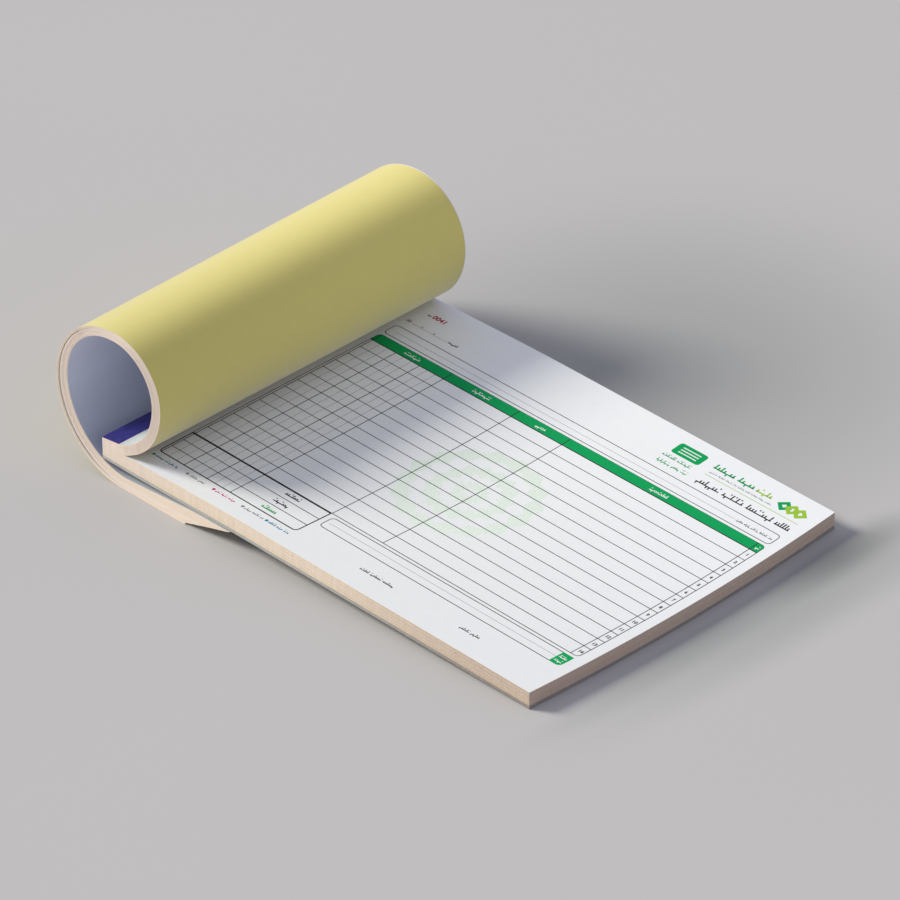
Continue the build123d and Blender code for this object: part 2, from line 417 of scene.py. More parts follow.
class Finish:
    """A node material round one Principled shader, with helpers for its textures."""

    def __init__(self, name, roughness=0.7, specular=0.35):
        self.material = bpy.data.materials.new(name)
        self.material.use_nodes = True
        self.nodes = self.material.node_tree.nodes
        self.links = self.material.node_tree.links
        self.shader = self.nodes["Principled BSDF"]
        self.shader.inputs["Roughness"].default_value = roughness
        self.shader.inputs["Specular IOR Level"].default_value = specular

    def put(self, value, socket):
        """Sets a socket to a value, or links another socket to it."""
        if isinstance(value, bpy.types.NodeSocket):
            self.links.new(value, socket)
        else:
            socket.default_value = value

    def node(self, kind, inputs, **settings):
        """A new node's outputs. Its inputs are set or linked by name or number."""
        made = self.nodes.new(kind)
        for key, value in settings.items():
            setattr(made, key, value)
        for key, value in inputs.items():
            self.put(value, made.inputs[key])
        return made.outputs

    def attribute(self, name):
        """A value that the mesh holds for each of its points."""
        return self.node("ShaderNodeAttribute", {}, attribute_name=name)["Fac"]

    def math(self, operation, *values):
        return self.node("ShaderNodeMath", dict(enumerate(values)), operation=operation)[0]

    def vector_math(self, operation, *values):
        return self.node("ShaderNodeVectorMath", dict(enumerate(values)), operation=operation)[0]

    def place(self, stretch=(1, 1, 1)):
        """The surface point in the frame, stretched along its axes."""
        where = self.node("ShaderNodeTexCoord", {})["Object"]
        return self.vector_math("MULTIPLY", where, stretch)

    def axis(self, place, name):
        """One coordinate of a place."""
        return self.node("ShaderNodeSeparateXYZ", {0: place})[name]

    def leaf_place(self):
        """Distance along the leaf and along the spine, as x and y."""
        inputs = {"X": self.attribute("along"), "Y": self.axis(self.place(), "Y")}
        return self.node("ShaderNodeCombineXYZ", inputs)[0]

    def noise(self, place, scale, detail=2.0, roughness=0.5):
        inputs = {"Vector": place, "Scale": scale, "Detail": detail, "Roughness": roughness}
        return self.node("ShaderNodeTexNoise", inputs)["Fac"]

    def spread(self, value, low, high):
        """A value's share of the way from low to high, eased and held between 0 and 1."""
        inputs = {"Value": value, "From Min": low, "From Max": high}
        return self.node("ShaderNodeMapRange", inputs, interpolation_type="SMOOTHSTEP")["Result"]

    def ramp(self, value, stops):
        """Colours against a value: stops are pairs of value and linear colour."""
        made = self.nodes.new("ShaderNodeValToRGB")
        self.put(value, made.inputs["Fac"])
        elements = made.color_ramp.elements
        while len(elements) < len(stops):
            elements.new(0.5)
        for element, (position, colour) in zip(elements, stops):
            element.position = position
            element.color = (*colour, 1)
        return made.outputs["Color"]

    def grain(self, noise, dark, light):
        """Runs from a dark colour to a light one over the values that a noise keeps to."""
        return self.ramp(noise, list(zip(NOISE_RANGE, (dark, light))))

    def fade(self, axis, span, first, last):
        """Runs from one colour to another along an axis of the frame."""
        share = self.spread(self.axis(self.place(), axis), *span)
        return self.ramp(share, [(0.0, first), (1.0, last)])

    def multiply(self, first, second):
        """The product of two colours."""
        inputs = {MIX_SHARE: 1.0, MIX_FIRST: first, MIX_SECOND: second}
        made = self.node("ShaderNodeMix", inputs, data_type="RGBA", blend_type="MULTIPLY")
        return made[MIX_RESULT]

    def colour(self, socket):
        self.put(socket, self.shader.inputs["Base Color"])

    def roughness(self, value, low, high):
        inputs = {"Value": value, "To Min": low, "To Max": high}
        self.put(self.node("ShaderNodeMapRange", inputs)["Result"], self.shader.inputs["Roughness"])

    def bump(self, value, strength, distance):
        inputs = {"Height": value, "Strength": strength, "Distance": distance}
        self.put(self.node("ShaderNodeBump", inputs)["Normal"], self.shader.inputs["Normal"])


def paper_colour(finish, colour):
    """Paper with a fine grain and faint clouds where the pulp lies thicker, and painted light: lighter
    towards the far end.
    """
    clouds = finish.noise(finish.place(), scale=140.0, detail=3.0)
    fibres = finish.noise(finish.place((1, 1.6, 1)), scale=1700.0, detail=3.0, roughness=0.7)
    finish.roughness(fibres, low=0.62, high=0.8)
    finish.bump(fibres, strength=0.22, distance=0.05 * MM)
    thick = finish.math("MULTIPLY", clouds, 1 - FIBRE_SHARE)
    mottle = finish.math("ADD", thick, finish.math("MULTIPLY", fibres, FIBRE_SHARE))
    sheet = finish.grain(mottle, *[shade_of(colour, shade) for shade in PAPER_SHADES])
    # Painted light: darker towards the near end of the spine, lighter towards the far end
    return finish.multiply(sheet, finish.fade("Y", PAINTED_LIGHT_SPAN, (1 - PAINTED_LIGHT_FADE,) * 3, (1 + PAINTED_LIGHT_FADE,) * 3))


def white_paper():
    """White paper, with a cooler painted shade where the roll stands over it."""
    finish = Finish("white_paper")
    # Painted shade: bluer beside the roll, where it stands over the page
    painted_shade = finish.fade("X", PAINTED_SHADE_SPAN, PAINTED_SHADE_TINT, UNCHANGED)
    finish.colour(finish.multiply(paper_colour(finish, WHITE_PAPER), painted_shade))
    return finish.material


def yellow_paper():
    """Yellow paper with a soft sheen."""
    finish = Finish("yellow_paper")
    finish.shader.inputs["Sheen Weight"].default_value = YELLOW_SHEEN
    finish.colour(paper_colour(finish, YELLOW_PAPER))
    return finish.material


def inner_paper():
    """The inside of the roll: white paper with painted shade, greyer by the tape and towards its end, deep
    under the pad.
    """
    finish = Finish("roll_inside")
    # Painted shade: grey by the tape, bluish round the roll, deep grey where the leaf lies under the pad
    painted_shade = finish.ramp(finish.attribute("along"), INSIDE_PAINTED_SHADE)
    finish.colour(finish.multiply(paper_colour(finish, WHITE_PAPER), painted_shade))
    return finish.material


def painted_free_end_shade(finish, colour):
    """Darkens an edge towards the free end with painted shade."""
    return finish.multiply(colour, finish.fade("X", FREE_END_SHADE_SPAN, UNCHANGED, FREE_END_SHADE))


def cut_edges():
    """Edges of stacked leaves: each a little creamier or pinker, with upright marks of the blade and
    painted shade towards the free end.
    """
    finish = Finish("cut_edges", roughness=0.8, specular=0.2)
    leaves = finish.ramp(finish.attribute("tone"), [(0.0, EDGE_PEACH), (1.0, EDGE_CREAM)])
    blade = finish.noise(finish.leaf_place(), scale=700.0, detail=4.0, roughness=0.75)
    marks = finish.grain(blade, BLADE_DARK, BLADE_LIGHT)
    # Painted shade: darker towards the free end
    finish.colour(painted_free_end_shade(finish, finish.multiply(leaves, marks)))
    return finish.material


def greyboard():
    """Grey pulp board with light and dark flecks, and painted shade towards the free end."""
    finish = Finish("grey_pulp_board", roughness=0.85, specular=0.2)
    pulp = finish.noise(finish.place(), scale=420.0, detail=4.0, roughness=0.7)
    flecks = finish.noise(finish.place((1, 1, 3)), scale=2600.0)
    base = finish.grain(pulp, BOARD_DARK, BOARD_LIGHT)
    # Painted shade: darker towards the free end
    finish.colour(painted_free_end_shade(finish, finish.multiply(base, finish.ramp(flecks, BOARD_FLECKS))))
    finish.bump(pulp, strength=0.35, distance=0.15 * MM)
    return finish.material


def binding_cloth():
    """Dark blue book cloth: a plain weave of fine threads, filled so that it shines a little."""
    finish = Finish("binding_cloth_weave", roughness=0.42, specular=0.4)
    place = finish.leaf_place()
    threads = 2 * math.pi / (THREAD_PITCH * MM)
    warp = finish.math("SINE", finish.math("MULTIPLY", finish.axis(place, "X"), threads))
    weft = finish.math("SINE", finish.math("MULTIPLY", finish.axis(place, "Y"), threads))
    weave = finish.math("MULTIPLY", warp, weft)
    slub = finish.noise(place, scale=260.0, detail=3.0)
    lift = finish.math("ADD", finish.math("MULTIPLY", weave, THREAD_RELIEF), slub)
    finish.colour(finish.ramp(lift, CLOTH_TONES))
    finish.roughness(slub, low=0.36, high=0.5)
    finish.bump(lift, strength=0.3, distance=0.06 * MM)
    return finish.material


def staple_steel():
    """Drawn steel wire."""
    finish = Finish("staple_steel", roughness=0.3, specular=0.5)
    finish.shader.inputs["Metallic"].default_value = 1.0
    drawn = finish.noise(finish.place((1, 12, 1)), scale=900.0, detail=3.0)
    finish.colour(finish.grain(drawn, STEEL_DARK, STEEL_LIGHT))
    finish.roughness(drawn, low=0.24, high=0.4)
    return finish.material


def ink(name, colour):
    """Printing ink, a little uneven where the paper takes it up."""
    finish = Finish(name, roughness=0.8, specular=0.08)
    uptake = finish.noise(finish.place(), scale=1500.0, detail=3.0, roughness=0.6)
    finish.colour(finish.grain(uptake, *[shade_of(colour, shade) for shade in INK_SHADES]))
    return finish.material


# Leaves of the roll and of the pad

WHITE, YELLOW, EDGE, INSIDE = range(4)
leaf_finishes = [white_paper(), yellow_paper(), cut_edges(), inner_paper()]
LEAF_SEED = 7
shuffle = random.Random(LEAF_SEED)
air_shares = [LEAF_AIR * shuffle.uniform(*AIR_SPREAD) for leaf in range(TURNED_LEAVES)]


def leaf_depths(parting):
    """Depths of the outer and inner face of every turned leaf, as shares of the roll's depth."""
    depths = []
    level = 0.0
    for leaf, air in enumerate(air_shares):
        depths.append((level, level + 1))
        level += 1 + air + (parting if leaf == PARTING_LEAF else 0)
    full = depths[-1][1]
    return [(outer / full, inner / full) for outer, inner in depths]


closed_depths = leaf_depths(0)
parted_depths = leaf_depths(PARTING_AIR)


def jogged_width():
    """Near and far ends of a leaf, each a little back from flush."""
    return shuffle.random() * EDGE_JOG, LEAF_WIDTH - shuffle.random() * EDGE_JOG


def tip_place(rank):
    """Where along the table a turned leaf ends, counted from the outermost."""
    share = max(0.0, (rank / TURNED_LEAVES - STEP_SHARE) / (1 - STEP_SHARE))
    return TAIL_STEP + (TAIL_END - TAIL_STEP) * share - shuffle.random() * TAIL_JOG


def slid(rows, along, table_begins, depth):
    """Slides a turned leaf's end along the spine, the outer leaves the furthest."""
    low, high = SLIDE_RANGE
    outside, inside = TAIL_SLIDE
    furthest = outside + (inside - outside) * depth
    made = []
    for row, length in zip(rows, along):
        slide = furthest * smooth((length - table_begins - low) / (high - low))
        made.append([(x, y - slide, z) for x, y, z in row])
    return made


def turned_leaves(number):
    """The leaves of a turned gathering, yellow and white by turns from the outside in."""
    parts = Parts()
    for leaf in range(LEAVES_PER_GATHERING):
        rank = (TURNED_GATHERINGS - number) * LEAVES_PER_GATHERING + leaf
        tip = tip_place(rank)
        near, far = jogged_width()
        if rank == 0:
            far -= RIM_SETBACK
        faces = []
        for side in (0, 1):
            place = (rank + side) / TURNED_LEAVES
            shares = (place, closed_depths[rank][side], parted_depths[rank][side], tip)
            ends = [turned_line(*shares, end) for end in (0, 1)]
            rows = ruled(*[line for line, begins in ends], (near, far))
            near_line, table_begins = ends[0]
            faces.append(slid(rows, near_line.along, table_begins, place))
        kind = INSIDE if rank == TURNED_LEAVES - 1 else (YELLOW, WHITE)[leaf % 2]
        add_sheet(parts, *faces, near_line.along, kind, EDGE, shuffle.random())
    piece = parts.make(f"turned_leaves_{number}", leaf_finishes, SMOOTH)
    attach(piece, "pad")
    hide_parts(f"turned_gathering_{number}")


def flat_rows(x_range, height, y_range, jog):
    """Rows of points over a flat sheet. An x_range that ends in None ends at the bowed free edge."""
    first, last = x_range
    near, far = y_range
    stations = [first] + [x for x in FLAT_STATIONS if first < x < (last or FREE_EDGE)] + [last]
    rows = []
    for station in stations:
        row = []
        for y in ACROSS:
            x = FREE_EDGE - FREE_EDGE_BOW * (1 - bowed(y)) - jog if station is None else station
            row.append((x, min(max(y, near), far), settled(x, height)))
        rows.append(row)
    return rows


def flat_sheet(parts, x_range, z_range, kind, edge, jogged=True):
    """One flat sheet of the pad, between heights as they would be in a flat pad."""
    y_range = jogged_width() if jogged else (0, LEAF_WIDTH)
    jog = shuffle.random() * EDGE_JOG if jogged else 0
    inner, outer = [flat_rows(x_range, z, y_range, jog) for z in z_range]
    add_sheet(parts, outer, inner, [row[0][0] for row in outer], kind, edge, shuffle.random())


def unused_leaves(number, top, leaves):
    """The leaves of an unused gathering, white and yellow by turns from the top down."""
    parts = Parts()
    for leaf in range(leaves):
        high = top - leaf * LEAF_THICKNESS
        flat_sheet(parts, (0, None), (high - LEAF_THICKNESS, high), (WHITE, YELLOW)[leaf % 2], EDGE)
    piece = parts.make(f"unused_leaves_{number}", leaf_finishes, SMOOTH)
    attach(piece, "pad")
    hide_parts(f"unused_gathering_{number}")


def loose_leaf(name, top, kind):
    """One leaf that lifts, and its bound stub beyond the perforation."""
    half_gap = PERFORATION_GAP / 2
    stretches = (
        (name, name, (PERFORATION + half_gap, None)),
        (f"{name}_stub", "pad", (0, PERFORATION - half_gap)),
    )
    for node, body, x_range in stretches:
        parts = Parts()
        flat_sheet(parts, x_range, (top - LEAF_THICKNESS, top), kind, EDGE)
        piece = parts.make(f"{node}_sheet", leaf_finishes, SMOOTH)
        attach(piece, body)
        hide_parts(node)


def make_leaves():
    """Every leaf of the book: turned, unused and loose."""
    for gathering in range(1, TURNED_GATHERINGS + 1):
        turned_leaves(gathering)
    top = UNUSED_TOP
    for gathering in range(1, FULL_GATHERINGS + 2):
        leaves = PART_GATHERING_LEAVES if gathering == 1 else LEAVES_PER_GATHERING
        unused_leaves(gathering, top, leaves)
        top -= leaves * LEAF_THICKNESS
    for number, leaf in enumerate(LOOSE_LEAVES):
        loose_leaf(leaf, PAD_TOP - number * LEAF_THICKNESS, (WHITE, YELLOW)[number % 2])


# Tape, board and staples


def tape_line(corner):
    """The tape's section: over the top sheet, down the spine and under the board."""
    out = TAPE_THICKNESS - (TAPE_CORNER - corner)
    top = margin_line(1)
    slope = top.heading
    foot = top.points[0][1]
    x = TAPE_FLAP * math.cos(slope) - out * math.sin(slope)
    z = foot + TAPE_FLAP * math.sin(slope) + out * math.cos(slope)
    line = SideLine(x, z, math.pi + slope)
    line.run((x + out - corner * (1 - math.sin(slope))) / math.cos(slope), TAPE_STEPS)
    line.bend(corner, QUARTER - slope, TAPE_STEPS)
    line.run(line.points[-1][1] - settled(0, 0) + out - corner, TAPE_BACK_STEPS)
    line.bend(corner, QUARTER, TAPE_STEPS)
    line.run(TAPE_FLAP + out - corner, TAPE_STEPS)
    return line


def spine_tape():
    """Cloth tape with softly turned corners."""
    parts = Parts()
    outer = tape_line(TAPE_CORNER)
    inner = tape_line(TAPE_CORNER - TAPE_THICKNESS)
    faces = [ruled(line, line, (0, LEAF_WIDTH)) for line in (outer, inner)]
    add_sheet(parts, *faces, outer.along, 0, 0)
    piece = parts.make("spine_tape", [binding_cloth()], SMOOTH)
    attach(piece, "pad")
    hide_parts("binding_tape")


def sagging_board():
    """The grey board, which sags with the pad on it."""
    parts = Parts()
    flat_sheet(parts, (0, None), (0, BOARD_THICKNESS), 0, 0, jogged=False)
    piece = parts.make("grey_board", [greyboard()], SMOOTH)
    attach(piece, "pad")
    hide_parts("backing_board")


def add_prism(parts, first, last, slot):
    """A closed shape between two loops of as many points."""
    count = len(first)
    sides = [(i, (i + 1) % count, count + (i + 1) % count, count + i) for i in range(count)]
    faces = [tuple(range(count)), tuple(range(count, 2 * count))] + sides
    parts.add(first + last, faces, [slot] * len(faces))


def staples():
    """Flat-wire staples through the margin, their legs clinched under the board."""
    parts = Parts()
    low = settled(STAPLE_INSET, 0)
    top = margin_line(1)
    high = top.points[0][1] + STAPLE_INSET * math.tan(top.heading) - WIRE_THICKNESS
    outer = STAPLE_CROWN / 2
    inner = outer - WIRE_THICKNESS
    clinch = outer - STAPLE_CLINCH
    half = [(clinch, low), (outer, low), (outer, high), (0, high), (0, high - WIRE_THICKNESS),
            (inner, high - WIRE_THICKNESS), (inner, low + WIRE_THICKNESS), (clinch, low + WIRE_THICKNESS)]
    edges = (STAPLE_INSET - WIRE_WIDTH / 2, STAPLE_INSET + WIRE_WIDTH / 2)
    for i in range(STAPLE_COUNT):
        middle = LEAF_WIDTH * (i + 0.5) / STAPLE_COUNT
        for side in (-1, 1):
            add_prism(parts, *[[(x, middle + side * y, z) for y, z in half] for x in edges], 0)
    piece = parts.make("wire_staples", [staple_steel()])
    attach(piece, "pad")
    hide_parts("binding_staples")


make_leaves()
spine_tape()
sagging_board()
staples()


# The printed form, drawn once on a flat page and laid on each loose leaf

INK_COLOURS = {
    "black": (0.02, 0.02, 0.026),
    "grey": (0.26, 0.26, 0.29),
    "green": (0.005, 0.36, 0.105),
    "leaf_green": (0.33, 0.56, 0.05),
    "pale_green": (0.76, 0.84, 0.78),
    "red": (0.42, 0.015, 0.035),
    "pink": (0.52, 0.03, 0.20),
    "blue": (0.02, 0.22, 0.38),
    "bare": WHITE_PAPER,
}
PALE_ON_YELLOW = (0.60, 0.60, 0.17)
BLACK, GREY, GREEN, LEAF_GREEN, PALE_GREEN, RED, PINK, BLUE, BARE = range(len(INK_COLOURS))
inks = [ink(f"ink_{name}", colour) for name, colour in INK_COLOURS.items()]
inks_on_yellow = list(inks)
inks_on_yellow[PALE_GREEN] = ink("ink_pale_green_on_yellow", PALE_ON_YELLOW)
inks_on_yellow[BARE] = ink("ink_bare_yellow", YELLOW_PAPER)

# How far ink stands off the paper, and widths of rules
UNDER_LIFT = 0.006
INK_LIFT = 0.012
OVER_LIFT = 0.018
THIN = 0.28
FINE = 0.54
BOLD = 0.85

# The table: rows and columns, the totals at its foot and the heading band over it
FORM_LEFT = 31.6
FORM_RIGHT = 345.4
DOUBLE_LINE = 2.1
ROWS = 14
ROW_PITCH = 10.37
TOTAL_ROWS = 3
TOTAL_PITCH = 9.1
TOTALS_FOOT = 15.5
ROWS_FOOT = TOTALS_FOOT + TOTAL_ROWS * TOTAL_PITCH
BAND_FOOT = ROWS_FOOT + ROWS * ROW_PITCH
BAND_HEIGHT = 8.2
AMOUNTS_LEFT = FORM_LEFT + DOUBLE_LINE
AMOUNT_COLUMNS = 3
AMOUNT_PITCH = 19.65
DIGITS_PER_COLUMN = 3
AMOUNTS_RIGHT = AMOUNTS_LEFT + AMOUNT_COLUMNS * AMOUNT_PITCH
PRICE_RIGHT = 147.8
QUANTITY_RIGHT = 189.4
NUMBERS_LEFT = 339.5
CORNER = 3.0
CORNER_STEPS = 6

# Marks that stand for words: a hand is their height and the width of the pen
HEADING_WIDTHS = (13, 14, 8, 14, 2.6)
HEADING_RISE = 0.34 * BAND_HEIGHT
HEADING_HAND = (2.8, 0.7)
TOTAL_CAPTION = (115.0, 126.8)
TOTAL_CAPTION_RISE = 0.38
TOTAL_HAND = (3.2, 0.85)
TOTAL_INKS = (GREEN, BLACK, BLACK)

# Figures: size and weight of row numbers, and the set's own text, place, size, weight and ink
ROW_FIGURES = (3.4, 0.14)
ROW_FIGURE_DROP = 1.1
SET_NUMBER = ("0041", 46.6, 230.3, 5.6, 0.17, RED)
SET_SIGN = ((37.2, 40.2), 231.0, 2.2, 0.6, BLACK)
FIGURE_STEPS = 2

# The customer's box and the date line
INFO_BOX = (31.7, 345.2, 198.4, 210.2)
INFO_RULE = 203.9
INFO_LINE = (INFO_RULE, (37, 314), THIN, GREY)
INFO_WORDS = ((315, 343), INFO_RULE - 0.6, 1.9, 0.42, BLACK)
DATE_FOOT = 217.6
DATE_LINE = (DATE_FOOT, (37, 66), THIN, GREY)
DATE_MARKS = ((31.6, 35.6), (67.2, 75.0))
DATE_HAND = (2.3, 0.62)
DATE_STROKES = (44.6, 55.0)
DATE_STROKE = ((217.4, 219.8), 0.7, GREY)

# The head: lines of words, each a stretch, foot, height, pen and ink, then a rule and ornaments
HEAD_WORDS = (
    ((271.6, 344.4), 216.2, 5.0, 0.95, BLACK),
    ((271.8, 320.4), 228.6, 1.6, 0.36, GREY),
    ((270.8, 302.8), 233.4, 5.0, 1.15, GREEN),
    ((304.3, 319.2), 233.4, 4.6, 1.1, LEAF_GREEN),
    ((239, 264), 222.8, 2.9, 0.62, GREEN),
    ((240, 264), 216.4, 2.9, 0.62, GREEN),
)
HEAD_RULE = (225.4, (271.2, 344.6), 0.45, LEAF_GREEN)
LOZENGE_PLACE = (327.0, 234.0)
LOZENGE_PITCH = 6.0
LOZENGE_RIMS = ((5.6, 5.4), (1.9, 1.8))
LOZENGE_INKS = (GREEN, LEAF_GREEN, LEAF_GREEN)
PLATE = (240.8, 262.8, 228.3, 239.8)
PLATE_CORNER = 2.2
PLATE_LINE = ((244.8, 258.8), 0.9, BARE, OVER_LIFT)
PLATE_LINE_PLACES = (231.4, 234.0, 236.6)

# The foot: the amount in words with its tab, signatures and a line of contacts
FOOTER_BOX = (151.3, 344.8, 29.3, 40.8)
FOOTER_TAB = 8.2
TAB_INSETS = (1.2, 1.4)
TAB_MARK_RISES = (2.6, 6.4)
TAB_HAND = (2.4, 0.62)
SIGNATURES = ((200, 227), (280.5, 297))
SIGNATURE = (15.9, 2.3, 0.55, BLACK)
CONTACTS = (
    (31.6, 53.5, BLUE), (60.5, 76.5, GREY), (83, 102, PINK), (107.5, 126, GREY), (127.5, 147, BLUE),
)
CONTACT_INDENT = 3
CONTACT_FOOT = 10.5
CONTACT_HAND = (2.0, 0.6)
DOT_RADIUS = 1.1
DOT_PLACE = 11.3
DOT_ROUNDNESS = 0.98

# The pale rosette: outer and inner radius of each ring, and the waves of its rims
ROSETTE_PLACE = (186, 114)
ROSETTE_RINGS = ((44, 35), (27, 18), (11, 4))
ROSETTE_WAVES = 16
ROSETTE_WAVE = 1.8
WAVE_STEPS = 12

# Made-up words: stroke pitch in pens, strokes as shares of the height, lengths and gaps in heights
STROKE_PITCH = 2.1
STROKES = ((0, 0.6), (0, 0.6), (0, 1.0), (-0.35, 0), (0.75, 1.0))
WORD_LENGTHS = (2.0, 4.0)
WORD_GAP = 0.5
WORD_SEED = 3
scribbler = random.Random(WORD_SEED)

# The print on the page: it bows as the free edge does, and steps aside where the page sags
PRINT_BOW = 5.4
BOW_REACH = 130.0
SAG_SHIFT = (-1.06, 1.05)


def corner_arc(x, y, radius, start):
    """Points round a quarter turn about a corner's own middle."""
    angles = [start + QUARTER * i / CORNER_STEPS for i in range(CORNER_STEPS + 1)]
    return [(x + radius * math.cos(a), y + radius * math.sin(a)) for a in angles]


def rounded_box(box, radii):
    """Outline of a box, anticlockwise from its left foot, with a radius for each corner."""
    x0, x1, y0, y1 = box
    a, b, c, d = radii
    loop = corner_arc(x0 + a, y0 + a, a, 2 * QUARTER) + corner_arc(x1 - b, y0 + b, b, 3 * QUARTER)
    return loop + corner_arc(x1 - c, y1 - c, c, 0) + corner_arc(x0 + d, y1 - d, d, QUARTER)


def print_patch(parts, loop, slot, lift=INK_LIFT):
    """A filled shape of ink."""
    add_prism(parts, *[[(x, y, z) for x, y in loop] for z in (0, lift)], slot)


def print_ring(parts, outer, inner, slot, lift=INK_LIFT):
    """Ink between two outlines with as many points."""
    count = len(outer)
    top = 2 * count
    points = [(x, y, z) for z in (0, lift) for loop in (outer, inner) for x, y in loop]
    faces = []
    for i in range(count):
        j = (i + 1) % count
        a, b, c, d = i, j, count + j, count + i
        faces += [(a, b, c, d), (a + top, b + top, c + top, d + top)]
        faces += [(a, b, b + top, a + top), (d, c, c + top, d + top)]
    parts.add(points, faces, [slot] * len(faces))


def print_bar(parts, x_range, y_range, slot, lift):
    (x0, x1), (y0, y1) = x_range, y_range
    print_patch(parts, [(x0, y0), (x1, y0), (x1, y1), (x0, y1)], slot, lift)


def rule_across(parts, y, x_range, width, slot=BLACK, lift=INK_LIFT):
    print_bar(parts, x_range, (y - width / 2, y + width / 2), slot, lift)


def rule_up(parts, x, y_range, width, slot=BLACK, lift=INK_LIFT):
    print_bar(parts, (x - width / 2, x + width / 2), y_range, slot, lift)


def print_frame(parts, box, radii, width, slot=BLACK, lift=INK_LIFT):
    """A ruled box with rounded corners."""
    x0, x1, y0, y1 = box
    inner_box = (x0 + width, x1 - width, y0 + width, y1 - width)
    inner_radii = [max(radius - width, 0) for radius in radii]
    print_ring(parts, rounded_box(box, radii), rounded_box(inner_box, inner_radii), slot, lift)


def print_dot(parts, left, slot):
    box = (left, left + 2 * DOT_RADIUS, DOT_PLACE - DOT_RADIUS, DOT_PLACE + DOT_RADIUS)
    print_patch(parts, rounded_box(box, [DOT_RADIUS * DOT_ROUNDNESS] * 4), slot)


def word_mark(parts, x_range, y, height, pen, slot, lift=INK_LIFT):
    """A made-up mark for a word: a stroke with uprights, tails and dots, but no letters."""
    x0, x1 = x_range
    rule_across(parts, y + pen / 2, x_range, pen, slot, lift)
    count = max(2, round((x1 - x0) / (STROKE_PITCH * pen)))
    for i in range(count):
        low, high = scribbler.choice(STROKES)
        x = x0 + (x1 - x0) * (i + 0.5) / count
        rule_up(parts, x, (y + low * height, y + high * height), pen, slot, lift)


def word_line(parts, x_range, y, height, pen, slot):
    """Several such marks with gaps, as in a line of words."""
    x, last = x_range
    while last - x > height:
        word = min(height * scribbler.uniform(*WORD_LENGTHS), last - x)
        word_mark(parts, (x, x + word), y, height, pen, slot)
        x += word + height * WORD_GAP


def print_number(parts, text, x, y, size, weight, slot):
    """Plain figures, centred at x with their feet at y, fattened by a weight."""
    curve = bpy.data.curves.new("figures", "FONT")
    curve.body = text
    curve.size = size
    curve.offset = weight
    curve.align_x = "CENTER"
    curve.extrude = INK_LIFT / 2
    curve.resolution_u = FIGURE_STEPS
    carrier = bpy.data.objects.new("figures", curve)
    mesh = bpy.data.meshes.new_from_object(carrier)
    points = [(x + v.co.x, y + v.co.y, v.co.z + INK_LIFT / 2) for v in mesh.vertices]
    faces = [tuple(face.vertices) for face in mesh.polygons]
    parts.add(points, faces, [slot] * len(faces))
    bpy.data.meshes.remove(mesh)
    bpy.data.objects.remove(carrier)
    bpy.data.curves.remove(curve)


def wavy_loop(radius, depth):
    """A rim of the rosette: a circle whose radius goes in and out by a depth."""
    x, y = ROSETTE_PLACE
    steps = ROSETTE_WAVES * WAVE_STEPS
    loop = []
    for i in range(steps):
        turn = 2 * math.pi * i / steps
        reach = radius + depth * math.cos(ROSETTE_WAVES * turn)
        loop.append((x + reach * math.cos(turn), y + reach * math.sin(turn)))
    return loop


def print_ground(parts):
    """A pale rosette under the rows, as many receipts carry."""
    for outer, inner in ROSETTE_RINGS:
        rims = (wavy_loop(outer, ROSETTE_WAVE), wavy_loop(inner, -ROSETTE_WAVE))
        print_ring(parts, *rims, PALE_GREEN, UNDER_LIFT)


def print_table(parts):
    """Ruled rows and columns under the heading band, with the totals box at their foot."""
    print_frame(parts, (FORM_LEFT, PRICE_RIGHT, TOTALS_FOOT, ROWS_FOOT), (CORNER, CORNER, 0, 0), BOLD)
    print_frame(parts, (FORM_LEFT, FORM_RIGHT, ROWS_FOOT, BAND_FOOT), (0, CORNER, 0, 0), FINE)
    for row in range(1, ROWS):
        rule_across(parts, ROWS_FOOT + row * ROW_PITCH, (AMOUNTS_LEFT, FORM_RIGHT), FINE)
    for row in range(1, TOTAL_ROWS):
        rule_across(parts, TOTALS_FOOT + row * TOTAL_PITCH, (AMOUNTS_LEFT, PRICE_RIGHT), FINE)
    for line in range(AMOUNT_COLUMNS * DIGITS_PER_COLUMN + 1):
        x = AMOUNTS_LEFT + line * AMOUNT_PITCH / DIGITS_PER_COLUMN
        look = (THIN, GREY, UNDER_LIFT) if line % DIGITS_PER_COLUMN else (FINE,)
        rule_up(parts, x, (TOTALS_FOOT, BAND_FOOT), *look)
    for x in (PRICE_RIGHT, QUANTITY_RIGHT, NUMBERS_LEFT):
        rule_up(parts, x, (ROWS_FOOT, BAND_FOOT), FINE)


def print_band(parts):
    """The green heading band, its column rules and a mark for each heading."""
    band = (FORM_LEFT, FORM_RIGHT, BAND_FOOT, BAND_FOOT + BAND_HEIGHT)
    print_patch(parts, rounded_box(band, (0, 0, CORNER, CORNER)), GREEN)
    print_frame(parts, band, (0, 0, CORNER, CORNER), FINE / 2, BLACK, OVER_LIFT)
    columns = [AMOUNTS_LEFT, AMOUNTS_RIGHT, PRICE_RIGHT, QUANTITY_RIGHT, NUMBERS_LEFT, FORM_RIGHT]
    for x in columns[:-1]:
        rule_up(parts, x, band[2:], FINE, BLACK, OVER_LIFT)
    for left, right, width in zip(columns, columns[1:], HEADING_WIDTHS):
        middle = (left + right) / 2
        stretch = (middle - width / 2, middle + width / 2)
        word_mark(parts, stretch, BAND_FOOT + HEADING_RISE, *HEADING_HAND, BARE, OVER_LIFT)


def print_numbers(parts):
    """Row numbers down the free edge, and the set's own red number at the head."""
    x = (NUMBERS_LEFT + FORM_RIGHT) / 2
    for row in range(ROWS):
        y = BAND_FOOT - (row + 0.5) * ROW_PITCH - ROW_FIGURE_DROP
        print_number(parts, str(row + 1), x, y, *ROW_FIGURES, BLACK)
    print_number(parts, *SET_NUMBER)
    word_mark(parts, *SET_SIGN)


